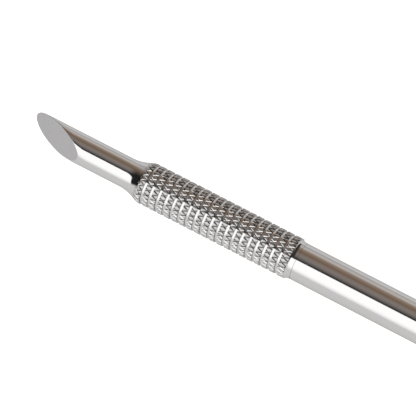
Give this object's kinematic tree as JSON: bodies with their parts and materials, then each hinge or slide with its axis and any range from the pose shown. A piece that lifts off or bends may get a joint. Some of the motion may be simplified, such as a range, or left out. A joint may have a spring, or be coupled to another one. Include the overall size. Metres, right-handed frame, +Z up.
{
  "type": "cuticle pusher",
  "caption": "Slim round polished steel hand tool with a slanted oval pusher face at one end, ringed knurled grips on a plain handle, and a flat scraper blade at the other end.",
  "frame": {"origin": "middle of the tool's footprint, on the surface that it lies on", "axes": "+X along the tool from the slanted pusher face to the scraper blade; +Z up from the surface it lies on; both working faces look up and towards -Y"},
  "size_m": [0.13, 0.0066, 0.0067],
  "materials": {
    "polished_steel": "mirror-polished stainless steel with faint fine scratches",
    "knurled_steel": "bright stainless steel, diamond knurled between smooth ring grooves"
  },
  "bodies": {
    "root": {"slant_pusher_tip": "polished_steel", "front_grip_sleeve": "knurled_steel", "handle_tube": "polished_steel", "rear_grip_sleeve": "knurled_steel", "scraper_blade_tip": "polished_steel"}
  },
  "joints": []
}
